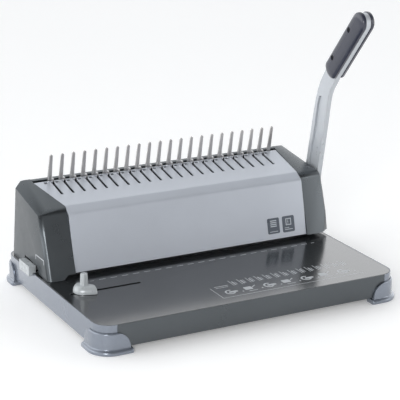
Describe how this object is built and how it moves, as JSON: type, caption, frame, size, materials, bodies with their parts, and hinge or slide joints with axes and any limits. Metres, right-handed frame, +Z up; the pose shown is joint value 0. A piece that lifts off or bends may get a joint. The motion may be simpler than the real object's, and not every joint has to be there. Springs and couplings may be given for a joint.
{
  "type": "comb binding machine",
  "caption": "Desktop comb binding machine: flat paper tray on corner feet, hooded punch with upright tines, sliding hooks and a cranked side lever.",
  "frame": {"origin": "on the desk, at the middle of the machine's outer box", "axes": "+X towards the lever side, +Y towards the back, +Z up"},
  "size_m": [0.402, 0.282, 0.322],
  "materials": {
    "silver_paint": "satin silver",
    "silver_plastic": "satin silver",
    "lever_paint": "satin pale silver",
    "graphite_gloss": "gloss",
    "dark_plastic": "fine texture",
    "black_plastic": "matte",
    "light_plastic": "satin",
    "grip_plastic": "gloss",
    "steel": "ground",
    "bright_steel": "bright"
  },
  "bodies": {
    "base": {"base_pan": "black_plastic", "front_panel": "graphite_gloss", "side_rail_left": "silver_plastic", "side_rail_right": "silver_plastic", "tray_top_plate": "graphite_gloss", "foot_front_left": "silver_plastic", "foot_front_right": "silver_plastic", "foot_rear_left": "silver_plastic", "foot_rear_right": "silver_plastic", "front_cover": "silver_paint", "end_cap_left": "dark_plastic", "end_cap_right": "dark_plastic", "rear_cover": "dark_plastic", "side_plate_left": "steel", "side_plate_right": "steel", "punch_die": "steel", "punch_guide": "steel", "tine_comb": "bright_steel", "return_spring_left": "bright_steel", "return_spring_right": "bright_steel"},
    "lever": {"lever_arm": "lever_paint", "grip_inner": "grip_plastic", "grip_outer": "grip_plastic", "grip_screw_lower": "bright_steel", "grip_screw_upper": "bright_steel", "main_shaft": "bright_steel", "lever_bolt": "bright_steel", "crank_left": "steel", "crank_right": "steel"},
    "punch": {"punch_bar": "steel", "yoke_left": "steel", "yoke_right": "steel", "punch_pin_01": "bright_steel", "punch_pin_02": "bright_steel", "punch_pin_03": "bright_steel", "punch_pin_04": "bright_steel", "punch_pin_05": "bright_steel", "punch_pin_06": "bright_steel", "punch_pin_07": "bright_steel", "punch_pin_08": "bright_steel", "punch_pin_09": "bright_steel", "punch_pin_10": "bright_steel", "punch_pin_11": "bright_steel", "punch_pin_12": "bright_steel", "punch_pin_13": "bright_steel", "punch_pin_14": "bright_steel", "punch_pin_15": "bright_steel", "punch_pin_16": "bright_steel", "punch_pin_17": "bright_steel", "punch_pin_18": "bright_steel", "punch_pin_19": "bright_steel", "punch_pin_20": "bright_steel", "punch_pin_21": "bright_steel"},
    "hooks": {"hook_comb": "bright_steel"},
    "guide": {"edge_guide": "light_plastic", "edge_guide_clip": "black_plastic"},
    "knob": {"depth_knob": "light_plastic"},
    "stop": {"depth_stop": "steel"},
    "drawer": {"chip_drawer": "black_plastic"}
  },
  "joints": [
    {"name": "lever_swing", "type": "hinge", "parent": "base", "child": "lever", "pos_m": [0, 0.066, 0.075], "axis": [1, 0, 0], "range_deg": [0, 60]},
    {"name": "punch_stroke", "type": "slide", "parent": "base", "child": "punch", "axis": [0, 0, -1], "range_m": [0, 0.00701], "deforming": ["return_spring_left", "return_spring_right"]},
    {"name": "hook_slide", "type": "slide", "parent": "base", "child": "hooks", "axis": [0, -0.9789, -0.2045], "range_m": [0, 0.02701]},
    {"name": "edge_guide_slide", "type": "slide", "parent": "base", "child": "guide", "axis": [1, 0, 0], "range_m": [-0.01, 0.06]},
    {"name": "depth_knob_slide", "type": "slide", "parent": "base", "child": "knob", "axis": [0, -1, 0], "range_m": [0, 0.014]},
    {"name": "depth_stop_slide", "type": "slide", "parent": "base", "child": "stop", "axis": [0, -1, 0], "range_m": [0, 0.00351]},
    {"name": "drawer_slide", "type": "slide", "parent": "base", "child": "drawer", "axis": [1, 0, 0], "range_m": [0, 0.25]}
  ],
  "couplings": [
    {"joint": "punch_stroke", "follows": "lever_swing", "m_per_rad": 0.0066845},
    {"joint": "hook_slide", "follows": "lever_swing", "m_per_rad": 0.025783},
    {"joint": "depth_stop_slide", "follows": "depth_knob_slide", "ratio": 0.25}
  ]
}
